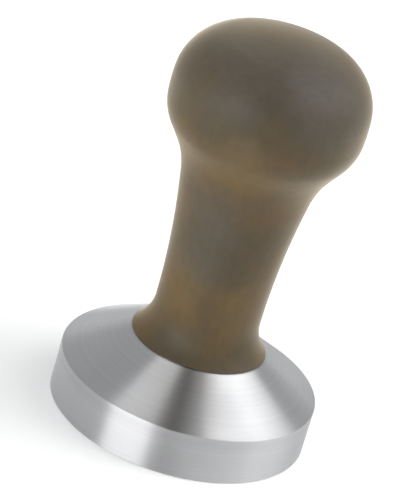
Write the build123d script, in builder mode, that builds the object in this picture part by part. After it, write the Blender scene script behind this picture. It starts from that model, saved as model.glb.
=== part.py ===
from build123d import *
from math import asin, degrees, radians, tan
import os

# An espresso tamper: a turned wooden handle screwed onto a solid steel base.
# Millimetres, +Z up. The origin is the centre of the flat tamping face, on the counter,
# and every piece is turned about the Z axis.

# Steel base
BASE_RADIUS = 29.0
RIM_HEIGHT = 11.0
PLATFORM_RADIUS = 15.3
PLATFORM_HEIGHT = 19.4
TAMPING_EDGE_CHAMFER = 0.4
SHOULDER_ROUND = 0.25
PLATFORM_EDGE_CHAMFER = 0.15

# Rubber washer, let into the platform and standing a little proud of it
WASHER_OUTER_RADIUS = 10.0
WASHER_INNER_RADIUS = 5.2
WASHER_THICKNESS = 1.0
WASHER_PROUD = 0.2
RECESS_SIDE_GAP = 0.2
RECESS_FLOOR = PLATFORM_HEIGHT + WASHER_PROUD - WASHER_THICKNESS
FOOT_HEIGHT = PLATFORM_HEIGHT + WASHER_PROUD

# M10 x 1.5 thread, right-handed
PITCH = 1.5
PITCH_RADIUS = 4.513
FLANK_ANGLE = 30.0
FLANK_GAP = 0.1
STUD_ROOT_RADIUS = 4.1
STUD_CREST_RADIUS = 4.93
TAPPED_BORE_RADIUS = 4.3
TAPPED_CREST_RADIUS = 5.08
RIDGE_OVERLAP = 0.3
RIDGE_TRIM = 1.0
MOUTH_CHAMFER = 1.1
# Where the swept ridges start round the axis, clear of the seams of the cylinders they meet
THREAD_START_ANGLE = 200.0

# Threaded stud, bonded into the base
STUD_BOTTOM = 7.0
STUD_LENGTH = 25.0
STUD_TOP = STUD_BOTTOM + STUD_LENGTH
STUD_END_RADIUS = 3.9
STUD_BEVEL = 1.3
HEX_ACROSS_FLATS = 5.0
HEX_DEPTH = 4.0

# Blind tapped hole in the base
HOLE_BOTTOM = 5.2
DRILL_POINT_DEPTH = 2.5
BASE_THREAD_BOTTOM = 6.4

# Brass insert, glued into the handle
INSERT_RADIUS = 7.0
INSERT_LENGTH = 18.0
INSERT_SETBACK = 0.3
INSERT_BOTTOM = FOOT_HEIGHT + INSERT_SETBACK
INSERT_TOP = INSERT_BOTTOM + INSERT_LENGTH
INSERT_END_CHAMFER = 0.4
GLUE_GROOVE_COUNT = 4
GLUE_GROOVE_SPACING = 3.6
GLUE_GROOVE_WIDTH = 1.2
GLUE_GROOVE_DEPTH = 0.5
GROOVED_LENGTH = (GLUE_GROOVE_COUNT - 1) * GLUE_GROOVE_SPACING + GLUE_GROOVE_WIDTH
FIRST_GROOVE = (INSERT_BOTTOM + INSERT_TOP - GROOVED_LENGTH) / 2

# Wooden handle
GLUE_GAP = 0.05
HANDLE_BORE_RADIUS = INSERT_RADIUS + GLUE_GAP
BORE_END_GAP = 0.7
HANDLE_BORE_DEPTH = INSERT_SETBACK + INSERT_LENGTH + BORE_END_GAP
HANDLE_FOOT_RADIUS = 15.2
HANDLE_TOP = 93.9
WAIST_RADIUS = 11.9
WAIST_HEIGHT = 27.3
# The side is a run of arcs, each tangent to the next: a cove from the foot to the waist, a long
# neck, a throat, a straight underside, the head's lower edge, its belly, its shoulder and its
# crown. A lean is how far the side is from vertical, in degrees, where one arc hands over.
NECK_CURVE = 186.0
NECK_LEAN = 9.7
THROAT_CURVE = 21.0
UNDERSIDE_LEAN = 34.0
UNDERSIDE_LENGTH = 3.8
HEAD_EDGE_CURVE = 11.0
BELLY_LEAN = 4.0
BELLY_CURVE = 40.0
SHOULDER_CURVE = 12.4
FOOT_FLARE = HANDLE_FOOT_RADIUS - WAIST_RADIUS
COVE_HEIGHT = WAIST_HEIGHT - FOOT_HEIGHT
COVE_CURVE = (FOOT_FLARE**2 + COVE_HEIGHT**2) / (2 * FOOT_FLARE)
COVE_SWEEP = degrees(asin(COVE_HEIGHT / COVE_CURVE))


def thread_ridge(root_radius, crest_radius, flank_shift, bottom, top):
    """One right-handed ridge round the Z axis, cut square at both ends and open to its root.

    Every ridge lies on the same helix, so the ridge of a screw is in mesh with the groove that
    another one cuts. flank_shift moves both flanks away from the middle of the ridge.
    """
    half_width = PITCH / 4 + flank_shift
    flank_slope = tan(radians(FLANK_ANGLE))
    inner_radius = root_radius - RIDGE_OVERLAP
    half_inner = half_width + (PITCH_RADIUS - inner_radius) * flank_slope
    half_crest = half_width - (crest_radius - PITCH_RADIUS) * flank_slope
    start = (bottom // PITCH - 1) * PITCH
    turns = (top - start) // PITCH + 2
    with BuildPart() as ridge:
        with BuildLine():
            Helix(pitch=PITCH, height=turns * PITCH, radius=PITCH_RADIUS, center=(0, 0, start))
        with BuildSketch(Plane.XZ):
            with BuildLine():
                Polyline(
                    (inner_radius, start - half_inner),
                    (crest_radius, start - half_crest),
                    (crest_radius, start + half_crest),
                    (inner_radius, start + half_inner),
                    close=True,
                )
            make_face()
        sweep(is_frenet=True)
        with BuildSketch(Plane.XY.offset(bottom)):
            Circle(crest_radius + RIDGE_TRIM)
        extrude(amount=top - bottom, mode=Mode.INTERSECT)
    return ridge.part


def thread_groove(bottom, top):
    """The ridge that cuts the groove of a tapped hole between two heights."""
    return thread_ridge(TAPPED_BORE_RADIUS, TAPPED_CREST_RADIUS, FLANK_GAP / 2, bottom, top)


def turned(*outline):
    """A closed outline of (radius, height) points, turned about Z."""
    with BuildPart() as shape:
        with BuildSketch(Plane.XZ):
            with BuildLine():
                Polyline(*outline, close=True)
            make_face()
        revolve(axis=Axis.Z)
    return shape.part


base_groove = thread_groove(BASE_THREAD_BOTTOM, RECESS_FLOOR)
insert_groove = thread_groove(INSERT_BOTTOM, INSERT_TOP)
stud_ridge = thread_ridge(STUD_ROOT_RADIUS, STUD_CREST_RADIUS, -FLANK_GAP / 2, STUD_BOTTOM, STUD_TOP)

# The blank of the base, before its recess and its tapped hole
base_blank = turned(
    (0, 0),
    (BASE_RADIUS, 0),
    (BASE_RADIUS, RIM_HEIGHT),
    (PLATFORM_RADIUS, PLATFORM_HEIGHT),
    (0, PLATFORM_HEIGHT),
)
# The drilled hole that takes the base's thread, with its point and its bevelled mouth
base_hole = turned(
    (0, HOLE_BOTTOM - DRILL_POINT_DEPTH),
    (TAPPED_BORE_RADIUS, HOLE_BOTTOM),
    (TAPPED_BORE_RADIUS, RECESS_FLOOR - MOUTH_CHAMFER),
    (TAPPED_BORE_RADIUS + MOUTH_CHAMFER, RECESS_FLOOR),
    (0, RECESS_FLOOR),
)
# The through hole that takes the insert's thread, with its bevelled mouth
insert_hole = turned(
    (0, INSERT_BOTTOM),
    (TAPPED_BORE_RADIUS + MOUTH_CHAMFER, INSERT_BOTTOM),
    (TAPPED_BORE_RADIUS, INSERT_BOTTOM + MOUTH_CHAMFER),
    (TAPPED_BORE_RADIUS, INSERT_TOP),
    (0, INSERT_TOP),
)
# The bevelled outline that trims the ends of the stud
stud_outline = turned(
    (0, STUD_BOTTOM),
    (STUD_END_RADIUS, STUD_BOTTOM),
    (STUD_END_RADIUS + STUD_BEVEL, STUD_BOTTOM + STUD_BEVEL),
    (STUD_END_RADIUS + STUD_BEVEL, STUD_TOP - STUD_BEVEL),
    (STUD_END_RADIUS, STUD_TOP),
    (0, STUD_TOP),
)

with BuildPart() as base:
    add(base_blank)
    tamping_edge, shoulder_edge, platform_edge = base.edges().filter_by(GeomType.CIRCLE).sort_by(Axis.Z)
    chamfer(tamping_edge, length=TAMPING_EDGE_CHAMFER)
    fillet(shoulder_edge, radius=SHOULDER_ROUND)
    chamfer(platform_edge, length=PLATFORM_EDGE_CHAMFER)
    with BuildSketch(Plane.XY.offset(PLATFORM_HEIGHT)):
        Circle(WASHER_OUTER_RADIUS + RECESS_SIDE_GAP)
    extrude(amount=RECESS_FLOOR - PLATFORM_HEIGHT, mode=Mode.SUBTRACT)
    add(base_hole, mode=Mode.SUBTRACT)
    add(base_groove, rotation=(0, 0, THREAD_START_ANGLE), mode=Mode.SUBTRACT)

with BuildPart() as stud:
    with BuildSketch(Plane.XY.offset(STUD_BOTTOM)):
        Circle(STUD_ROOT_RADIUS)
    extrude(amount=STUD_LENGTH)
    add(stud_ridge, rotation=(0, 0, THREAD_START_ANGLE))
    add(stud_outline, mode=Mode.INTERSECT)
    with BuildSketch(Plane.XY.offset(STUD_TOP)):
        RegularPolygon(HEX_ACROSS_FLATS / 2, 6, major_radius=False)
    extrude(amount=-HEX_DEPTH, mode=Mode.SUBTRACT)

with BuildPart() as joint_washer:
    with BuildSketch(Plane.XY.offset(RECESS_FLOOR)):
        Circle(WASHER_OUTER_RADIUS)
        Circle(WASHER_INNER_RADIUS, mode=Mode.SUBTRACT)
    extrude(amount=WASHER_THICKNESS)

with BuildPart() as threaded_insert:
    with BuildSketch(Plane.XY.offset(INSERT_BOTTOM)):
        Circle(INSERT_RADIUS)
    extrude(amount=INSERT_LENGTH)
    chamfer(threaded_insert.edges().filter_by(GeomType.CIRCLE), length=INSERT_END_CHAMFER)
    for index in range(GLUE_GROOVE_COUNT):
        groove_bottom = FIRST_GROOVE + index * GLUE_GROOVE_SPACING
        with BuildSketch(Plane.XY.offset(groove_bottom)):
            Circle(INSERT_RADIUS)
            Circle(INSERT_RADIUS - GLUE_GROOVE_DEPTH, mode=Mode.SUBTRACT)
        extrude(amount=GLUE_GROOVE_WIDTH, mode=Mode.SUBTRACT)
    add(insert_hole, mode=Mode.SUBTRACT)
    add(insert_groove, rotation=(0, 0, THREAD_START_ANGLE), mode=Mode.SUBTRACT)

with BuildPart() as handle:
    with BuildSketch(Plane.XZ):
        with BuildLine():
            waist = (WAIST_RADIUS, WAIST_HEIGHT)
            cove = JernArc(waist, (0, -1), COVE_CURVE, COVE_SWEEP)
            neck = JernArc(waist, (0, 1), NECK_CURVE, -NECK_LEAN)
            throat = JernArc(neck @ 1, neck % 1, THROAT_CURVE, NECK_LEAN - UNDERSIDE_LEAN)
            underside = Line(throat @ 1, throat @ 1 + UNDERSIDE_LENGTH * (throat % 1))
            head_edge = JernArc(underside @ 1, underside % 1, HEAD_EDGE_CURVE, UNDERSIDE_LEAN - BELLY_LEAN)
            belly = JernArc(head_edge @ 1, head_edge % 1, BELLY_CURVE, 2 * BELLY_LEAN)
            # The crown's arc is centred on the axis, touches the shoulder's and reaches the top
            shoulder_centre = belly @ 1 + SHOULDER_CURVE * (belly % 1).rotate(Axis.Z, 90)
            rise = HANDLE_TOP - shoulder_centre.Y
            crown_curve = (shoulder_centre.X**2 + rise**2 - SHOULDER_CURVE**2) / (2 * (rise - SHOULDER_CURVE))
            crown_sweep = degrees(asin(shoulder_centre.X / (crown_curve - SHOULDER_CURVE)))
            shoulder = JernArc(belly @ 1, belly % 1, SHOULDER_CURVE, 90 - BELLY_LEAN - crown_sweep)
            crown = JernArc(shoulder @ 1, shoulder % 1, crown_curve, crown_sweep)
            Polyline(crown @ 1, (0, FOOT_HEIGHT), cove @ 1)
        make_face()
    revolve(axis=Axis.Z)
    with BuildSketch(Plane.XY.offset(FOOT_HEIGHT)):
        Circle(HANDLE_BORE_RADIUS)
    extrude(amount=HANDLE_BORE_DEPTH, mode=Mode.SUBTRACT)

os.makedirs("parts", exist_ok=True)
base.part.label = "base"
export_step(base.part, "parts/base.step")
stud.part.label = "stud"
export_step(stud.part, "parts/stud.step")
joint_washer.part.label = "joint_washer"
export_step(joint_washer.part, "parts/joint_washer.step")
threaded_insert.part.label = "threaded_insert"
export_step(threaded_insert.part, "parts/threaded_insert.step")
handle.part.label = "handle"
export_step(handle.part, "parts/handle.step")
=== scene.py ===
from math import cos, radians, sin

import bpy
from mathutils import Matrix, Vector


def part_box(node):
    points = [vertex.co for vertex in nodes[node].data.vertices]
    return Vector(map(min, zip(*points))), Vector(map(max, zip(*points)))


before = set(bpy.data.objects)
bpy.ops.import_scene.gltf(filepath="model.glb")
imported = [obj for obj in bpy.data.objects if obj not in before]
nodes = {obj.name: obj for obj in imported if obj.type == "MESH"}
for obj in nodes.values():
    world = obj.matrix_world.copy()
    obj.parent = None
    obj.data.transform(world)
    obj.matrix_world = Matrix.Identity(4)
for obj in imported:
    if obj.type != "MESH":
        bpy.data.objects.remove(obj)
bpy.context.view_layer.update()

# An espresso tamper: a stained wooden handle on a turned steel base. Lengths are metres, in the
# CAD's frame, with +Z up and the origin at the centre of the tamping face.

tamper_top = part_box("handle")[1].z


# Node materials

def new_material(name):
    """An empty node material with a Principled shader on its output."""
    material = bpy.data.materials.new(name)
    material.use_nodes = True
    tree = material.node_tree
    tree.nodes.clear()
    output = tree.nodes.new("ShaderNodeOutputMaterial")
    shader = tree.nodes.new("ShaderNodeBsdfPrincipled")
    tree.links.new(shader.outputs["BSDF"], output.inputs["Surface"])
    return material, tree, shader


def add(tree, kind, inputs=None, **settings):
    """A node with its settings and input values; an input given a socket is linked to it."""
    node = tree.nodes.new(kind)
    for key, value in settings.items():
        setattr(node, key, value)
    for key, value in (inputs or {}).items():
        if isinstance(value, bpy.types.NodeSocket):
            tree.links.new(value, node.inputs[key])
        else:
            node.inputs[key].default_value = value
    return node


def ramp(tree, factor, stops):
    """A colour ramp through (position, grey or colour) stops."""
    node = add(tree, "ShaderNodeValToRGB", {"Fac": factor})
    elements = node.color_ramp.elements
    while len(elements) < len(stops):
        elements.new(0.5)
    for element, (position, colour) in zip(elements, stops):
        element.position = position
        element.color = (*colour, 1.0) if isinstance(colour, tuple) else (colour, colour, colour, 1.0)
    return node.outputs["Color"]


def mix(tree, factor, first, second, blend="MIX"):
    """Two colours mixed by a factor."""
    node = add(tree, "ShaderNodeMix", data_type="RGBA", blend_type=blend)
    for socket, value in ((node.inputs[0], factor), (node.inputs[6], first), (node.inputs[7], second)):
        if isinstance(value, bpy.types.NodeSocket):
            tree.links.new(value, socket)
        elif socket.type == "RGBA":
            socket.default_value = (*value, 1.0)
        else:
            socket.default_value = value
    return node.outputs[2]


def noise(tree, vector, **settings):
    """A noise texture over a vector; settings are its input values, such as Scale=60.0."""
    return add(tree, "ShaderNodeTexNoise", {"Vector": vector, **settings}).outputs["Fac"]


def object_position(tree):
    """Where a point of the surface lies in its object's own frame, as a socket."""
    return add(tree, "ShaderNodeTexCoord").outputs["Object"]


def ring_position(tree, position):
    """A point's distance from the Z axis and its height, as a vector that is constant round a ring."""
    parts = add(tree, "ShaderNodeSeparateXYZ", {0: position})
    flat = add(tree, "ShaderNodeCombineXYZ", {"X": parts.outputs["X"], "Y": parts.outputs["Y"]})
    radius = add(tree, "ShaderNodeVectorMath", {0: flat.outputs[0]}, operation="LENGTH").outputs["Value"]
    return add(tree, "ShaderNodeCombineXYZ", {"X": radius, "Y": parts.outputs["Z"]}).outputs[0]


# Turned metal: how much of the ring pattern is broad rings, how dark the painted shade in a groove is
# beside the metal, how far the roughness drifts either way, and how deep the grooves are
BROAD_SHARE = 0.45
GROOVE_SHADE_TONE = 0.9
ROUGHNESS_DRIFT = 0.07
GROOVE_DEPTH = 0.00002
# A quarter turn lays the streaks of the reflections across the rings
STREAKS_ACROSS = 0.25


def turned_metal(name, colour, roughness, anisotropy, ring_strength):
    """Metal turned on a lathe: fine rings round the axis that spread each reflection across them, and painted
    shade that darkens their grooves.
    """
    material, tree, shader = new_material(name)
    position = object_position(tree)
    rings_at = ring_position(tree, position)
    fine = noise(tree, rings_at, Scale=5200.0, Detail=2.0, Roughness=0.6)
    broad = noise(tree, rings_at, Scale=900.0, Detail=2.0)
    cloud = noise(tree, position, Scale=60.0, Detail=3.0)
    both = mix(tree, BROAD_SHARE, fine, broad)
    bump = add(tree, "ShaderNodeBump", {"Height": both, "Strength": ring_strength, "Distance": GROOVE_DEPTH})
    # Painted shade: the base colour is darkened where the rings' height is low, in the grooves
    groove_shade = tuple(GROOVE_SHADE_TONE * c for c in colour)
    tint = mix(tree, ramp(tree, both, [(0.35, 0.0), (0.65, 1.0)]), groove_shade, colour)
    rough = add(tree, "ShaderNodeMapRange", {"Value": cloud, "From Min": 0.3, "From Max": 0.7,
                                             "To Min": roughness * (1 - ROUGHNESS_DRIFT),
                                             "To Max": roughness * (1 + ROUGHNESS_DRIFT)})
    tangent = add(tree, "ShaderNodeTangent", direction_type="RADIAL", axis="Z")
    shader.inputs["Metallic"].default_value = 1.0
    shader.inputs["Anisotropic"].default_value = anisotropy
    shader.inputs["Anisotropic Rotation"].default_value = STREAKS_ACROSS
    tree.links.new(tint, shader.inputs["Base Color"])
    tree.links.new(rough.outputs["Result"], shader.inputs["Roughness"])
    tree.links.new(bump.outputs["Normal"], shader.inputs["Normal"])
    tree.links.new(tangent.outputs["Tangent"], shader.inputs["Tangent"])
    return material


# Soft clouds on the handle, as (degrees round from the front, share of the handle's height, reach, strength).
# The golden ones are stain; the grey ones are stain with a painted reflection on the head; the dark ones are
# painted shade and a painted reflection, not stain. Eight of the places follow ones that another script
# measured.
# Grey clouds: stain mottling, and on the head a painted reflection of the cool surroundings
GREY_STAIN_AND_REFLECTION_CLOUDS = [
    (40, 0.95, 0.011, 0.8),
    (-35, 0.95, 0.012, 0.6),
    (-10, 0.74, 0.007, 0.5),
    (-20, 0.45, 0.008, 0.55),
    (-25, 0.30, 0.007, 0.5),
]
GOLDEN_CLOUDS = [
    (-8, 0.69, 0.009, 0.9),
    (-45, 0.70, 0.008, 0.5),
    (-35, 0.20, 0.008, 0.7),
    (30, 0.15, 0.008, 0.6),
    (70, 0.60, 0.009, 0.6),
]
# Dark clouds: a painted reflection of a dark area at the top of the head, and painted shade on the middle and
# at the front of the foot
PAINTED_SHADE_AND_REFLECTION_CLOUDS = [
    (10, 0.90, 0.016, 0.8),
    (20, 0.40, 0.012, 0.5),
    (10, 0.05, 0.012, 0.6),
]

# A cloud fades from nothing to its full strength between these shares of its reach, and its
# outline wanders by up to half of CLOUD_WANDER
CLOUD_EDGE = 1.6
CLOUD_CORE = 0.2
CLOUD_WANDER = 0.012


def cloud_mask(tree, position, clouds):
    """How far inside any of some round soft clouds a point of the handle is, from 0 to 1."""
    low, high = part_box("handle")
    # The clouds are centred on a cylinder between the neck's surface and the head's
    ring_radius = (high.x - low.x) / 3
    total = None
    for degrees, share, reach, strength in clouds:
        angle = radians(degrees)
        centre = (ring_radius * sin(angle), -ring_radius * cos(angle), low.z + share * (high.z - low.z))
        distance = add(tree, "ShaderNodeVectorMath", {0: position, 1: centre}, operation="DISTANCE")
        inside = add(tree, "ShaderNodeMapRange", {"Value": distance.outputs["Value"],
                                                  "From Min": CLOUD_EDGE * reach,
                                                  "From Max": CLOUD_CORE * reach,
                                                  "To Min": 0.0, "To Max": strength},
                     interpolation_type="SMOOTHSTEP").outputs["Result"]
        if total is None:
            total = inside
        else:
            total = add(tree, "ShaderNodeMath", {0: total, 1: inside}, operation="MAXIMUM").outputs[0]
    return total


def stained_wood(name):
    """Hardwood under a taupe stain with a soft satin edge: clouds of brown, olive, gold and grey stain, and
    dark clouds of painted shade and painted reflection; the grey clouds hold some painted reflection too.
    """
    material, tree, shader = new_material(name)
    position = object_position(tree)
    drift = add(tree, "ShaderNodeTexNoise", {"Vector": position, "Scale": 90.0, "Detail": 2.0})
    drift_colour = drift.outputs["Color"]
    wander = add(tree, "ShaderNodeVectorMath", {0: drift_colour, 1: (0.5, 0.5, 0.5)}, operation="SUBTRACT")
    wander_way = wander.outputs[0]
    shift = add(tree, "ShaderNodeVectorMath", {0: wander_way, "Scale": CLOUD_WANDER}, operation="SCALE")
    ragged = add(tree, "ShaderNodeVectorMath", {0: position, 1: shift.outputs[0]}, operation="ADD").outputs[0]
    clouds = noise(tree, position, Scale=60.0, Detail=3.0, Roughness=0.55)
    specks = noise(tree, position, Scale=420.0, Detail=3.0, Roughness=0.6)
    along = add(tree, "ShaderNodeMapping", {"Vector": position, "Scale": (1.0, 1.0, 0.06)}).outputs[0]
    grain = noise(tree, along, Scale=900.0, Detail=3.0)
    brown = (0.112, 0.070, 0.026)
    olive = (0.080, 0.060, 0.028)
    grey = (0.088, 0.078, 0.064)
    golden = (0.138, 0.088, 0.028)
    # The colour of the painted shade and painted reflection in the dark clouds
    painted_dark = (0.052, 0.042, 0.028)
    stain = mix(tree, ramp(tree, clouds, [(0.38, 0.0), (0.62, 1.0)]), olive, brown)
    # Painted shade and a painted reflection, laid over the stain as dark clouds
    stain = mix(tree, cloud_mask(tree, ragged, PAINTED_SHADE_AND_REFLECTION_CLOUDS), stain, painted_dark)
    stain = mix(tree, cloud_mask(tree, ragged, GOLDEN_CLOUDS), stain, golden)
    # Grey clouds: stain, with a painted reflection on the head
    stain = mix(tree, cloud_mask(tree, ragged, GREY_STAIN_AND_REFLECTION_CLOUDS), stain, grey)
    stain = mix(tree, 1.0, stain, ramp(tree, specks, [(0.3, 0.93), (0.7, 1.06)]), "MULTIPLY")
    stain = mix(tree, 1.0, stain, ramp(tree, grain, [(0.35, 0.96), (0.65, 1.02)]), "MULTIPLY")
    rough = add(tree, "ShaderNodeMapRange", {"Value": clouds, "From Min": 0.3, "From Max": 0.7,
                                             "To Min": 0.50, "To Max": 0.60})
    bump = add(tree, "ShaderNodeBump", {"Height": grain, "Strength": 0.12, "Distance": 0.00005})
    shader.inputs["IOR"].default_value = 1.45
    shader.inputs["Specular IOR Level"].default_value = 0.35
    shader.inputs["Sheen Weight"].default_value = 0.85
    shader.inputs["Sheen Roughness"].default_value = 0.34
    shader.inputs["Sheen Tint"].default_value = (0.95, 0.84, 0.66, 1.0)
    tree.links.new(stain, shader.inputs["Base Color"])
    tree.links.new(rough.outputs["Result"], shader.inputs["Roughness"])
    tree.links.new(bump.outputs["Normal"], shader.inputs["Normal"])
    return material


def washer_rubber(name):
    """Black nitrile rubber with a fine matt skin."""
    material, tree, shader = new_material(name)
    skin = noise(tree, object_position(tree), Scale=2500.0, Detail=2.0)
    tint = mix(tree, skin, (0.012, 0.012, 0.012), (0.03, 0.03, 0.03))
    bump = add(tree, "ShaderNodeBump", {"Height": skin, "Strength": 0.2, "Distance": 0.00003})
    shader.inputs["Roughness"].default_value = 0.75
    tree.links.new(tint, shader.inputs["Base Color"])
    tree.links.new(bump.outputs["Normal"], shader.inputs["Normal"])
    return material


# The floor shines a little by itself, so that it stays pale between the soft lights
FLOOR_GLOW = 0.22


def floor_paint(name):
    """A matt, nearly white floor with a barely uneven tone."""
    material, tree, shader = new_material(name)
    cloud = noise(tree, object_position(tree), Scale=3.0, Detail=2.0)
    tint = mix(tree, cloud, (0.90, 0.90, 0.90), (0.92, 0.92, 0.92))
    shader.inputs["Roughness"].default_value = 0.9
    shader.inputs["Specular IOR Level"].default_value = 0.1
    shader.inputs["Emission Color"].default_value = (1.0, 1.0, 1.0, 1.0)
    shader.inputs["Emission Strength"].default_value = FLOOR_GLOW
    tree.links.new(tint, shader.inputs["Base Color"])
    return material


def paint(piece, material):
    """Give every slot of a piece one material."""
    if not piece.material_slots:
        piece.data.materials.append(material)
    for slot in piece.material_slots:
        slot.material = material


steel = turned_metal("turned_steel", colour=(0.60, 0.60, 0.605), roughness=0.42,
                     anisotropy=1.0, ring_strength=0.15)
stud_steel = turned_metal("stud_steel", colour=(0.45, 0.45, 0.46), roughness=0.35,
                          anisotropy=0.3, ring_strength=0.1)
brass = turned_metal("insert_brass", colour=(0.72, 0.50, 0.22), roughness=0.32,
                     anisotropy=0.5, ring_strength=0.15)
paint(nodes["base"], steel)
paint(nodes["stud"], stud_steel)
paint(nodes["threaded_insert"], brass)
paint(nodes["joint_washer"], washer_rubber("washer_rubber"))
paint(nodes["handle"], stained_wood("stained_wood"))


# Floor, camera and lights

FLOOR_HALF = 3.0
floor_mesh = bpy.data.meshes.new("floor")
floor_mesh.from_pydata([(x, y, 0.0) for x, y in ((-1, -1), (1, -1), (1, 1), (-1, 1))], [], [(0, 1, 2, 3)])
floor_mesh.transform(Matrix.Scale(FLOOR_HALF, 4))
floor = bpy.data.objects.new("floor", floor_mesh)
bpy.context.scene.collection.objects.link(floor)
paint(floor, floor_paint("floor_paint"))

# The camera's aim, its distance from it, how far up it stands, how far it is rolled, and its
# focal length in millimetres
CAMERA_AIM = Vector((-0.00394, 0.0, 0.04041))
CAMERA_DISTANCE = 0.8723
CAMERA_ELEVATION = radians(25.54)
CAMERA_ROLL = radians(16.72)
LENS = 286.85


def place_camera():
    """The camera looks along +Y and down, rolled so that the tamper leans to the right."""
    camera = bpy.data.objects.new("camera", bpy.data.cameras.new("camera"))
    camera.data.lens = LENS
    camera.data.clip_start = 0.01
    back = Vector((0.0, -cos(CAMERA_ELEVATION), sin(CAMERA_ELEVATION)))
    upright = Vector((0.0, sin(CAMERA_ELEVATION), cos(CAMERA_ELEVATION)))
    level = Vector((1.0, 0.0, 0.0))
    right = cos(CAMERA_ROLL) * level + sin(CAMERA_ROLL) * upright
    up = cos(CAMERA_ROLL) * upright - sin(CAMERA_ROLL) * level
    turn = Matrix((right, up, back)).transposed().to_4x4()
    camera.matrix_world = Matrix.Translation(CAMERA_AIM + CAMERA_DISTANCE * back) @ turn
    bpy.context.scene.collection.objects.link(camera)
    bpy.context.scene.camera = camera


def softbox(name, azimuth, elevation, distance, width, height, power):
    """A rectangular light that faces the tamper; azimuth 0 is the camera's side, positive to its right."""
    light = bpy.data.lights.new(name, "AREA")
    light.shape = "RECTANGLE"
    light.size = width
    light.size_y = height
    light.energy = power
    lamp = bpy.data.objects.new(name, light)
    a, e = radians(azimuth), radians(elevation)
    way = Vector((sin(a) * cos(e), -cos(a) * cos(e), sin(e)))
    lamp.location = Vector((0.0, 0.0, tamper_top / 2)) + distance * way
    lamp.rotation_euler = way.to_track_quat("Z", "Y").to_euler()
    lamp.visible_camera = False
    bpy.context.scene.collection.objects.link(lamp)


LIGHT_DISTANCE = 1.2
place_camera()
softbox("left_front", azimuth=-35, elevation=8, distance=LIGHT_DISTANCE,
        width=0.85, height=0.60, power=8.5)
softbox("right_side", azimuth=102, elevation=50, distance=LIGHT_DISTANCE,
        width=1.05, height=1.20, power=10.5)

# The world's light by direction, whose parts run from -1 to 1: the walls, a gap across X = 0, and
# a backdrop that grows from BACKDROP_START to BACKDROP_FULL along +Y
AMBIENT = 0.57
GAP_LIGHT = 0.12
GAP_HALF_WIDTH = 0.13
GAP_EDGE = 0.08
BACKDROP_LIGHT = 0.85
BACKDROP_START = 0.65
BACKDROP_FULL = 0.9


def studio_world(name):
    """Even grey walls, a dim gap between the softboxes over the tamper, and a pale backdrop behind it."""
    room = bpy.data.worlds.new(name)
    room.use_nodes = True
    tree = room.node_tree
    direction = add(tree, "ShaderNodeTexCoord").outputs["Generated"]
    parts = add(tree, "ShaderNodeSeparateXYZ", {0: direction})
    side = add(tree, "ShaderNodeMath", {0: parts.outputs["X"]}, operation="ABSOLUTE").outputs[0]
    walls = add(tree, "ShaderNodeMapRange", {"Value": side, "From Min": GAP_HALF_WIDTH - GAP_EDGE,
                                             "From Max": GAP_HALF_WIDTH + GAP_EDGE,
                                             "To Min": GAP_LIGHT, "To Max": AMBIENT},
                interpolation_type="SMOOTHSTEP").outputs["Result"]
    backdrop = add(tree, "ShaderNodeMapRange", {"Value": parts.outputs["Y"],
                                                "From Min": BACKDROP_START, "From Max": BACKDROP_FULL,
                                                "To Min": 0.0, "To Max": BACKDROP_LIGHT}).outputs["Result"]
    level = add(tree, "ShaderNodeMath", {0: walls, 1: backdrop}, operation="MAXIMUM").outputs[0]
    background = tree.nodes["Background"]
    background.inputs["Color"].default_value = (0.97, 0.985, 1.0, 1.0)
    tree.links.new(level, background.inputs["Strength"])
    bpy.context.scene.world = room


studio_world("studio")
bpy.context.scene.view_settings.view_transform = "Standard"
